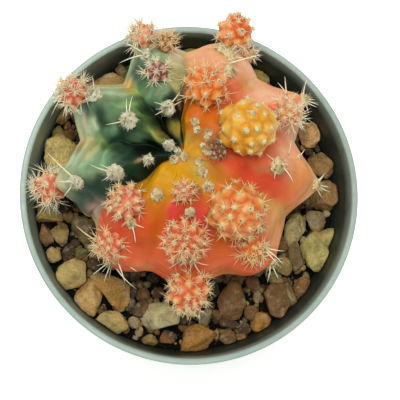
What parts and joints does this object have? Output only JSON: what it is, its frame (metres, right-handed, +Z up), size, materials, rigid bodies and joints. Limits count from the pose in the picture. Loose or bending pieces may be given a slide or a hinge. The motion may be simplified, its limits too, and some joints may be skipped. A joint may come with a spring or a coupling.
{
  "type": "potted moon cactus",
  "caption": "Small globe-shaped cactus, part green and part orange, with sharp ribs, pale spines and clustered offsets, in a round plastic pot topped with gravel.",
  "frame": {"origin": "centre of the flat underside of the pot", "axes": "+Z up along the pot's axis; +X and +Y lie in the plane the pot stands on, +Y towards the side of the plant with the tall orange offset"},
  "size_m": [0.0858, 0.0871, 0.113],
  "materials": {
    "pot_plastic": "satin",
    "soil": "matte",
    "gravel": "matte",
    "stem_flesh": "satin",
    "golden_flesh": "satin",
    "amber_flesh": "satin",
    "coral_flesh": "satin",
    "rose_flesh": "satin",
    "red_flesh": "satin",
    "tan_flesh": "satin",
    "purple_flesh": "satin"
  },
  "bodies": {
    "root": {"pot": "pot_plastic", "soil": "soil", "gravel": "gravel", "stem": "stem_flesh", "offset_golden": "golden_flesh", "offset_amber": "amber_flesh", "offset_amber_low": "amber_flesh", "offset_apricot": "amber_flesh", "offset_coral_upper": "coral_flesh", "offset_coral_lower": "coral_flesh", "offset_tall_orange": "coral_flesh", "offset_small_orange": "amber_flesh", "offset_rose": "rose_flesh", "offset_rose_small": "rose_flesh", "offset_red_top": "red_flesh", "offset_tan_top": "tan_flesh", "offset_purple": "purple_flesh", "offset_red_left": "red_flesh", "offset_red_low_left": "red_flesh", "offset_salmon_right": "rose_flesh", "offset_pink_centre": "rose_flesh", "offset_brown_centre": "tan_flesh"}
  },
  "joints": []
}
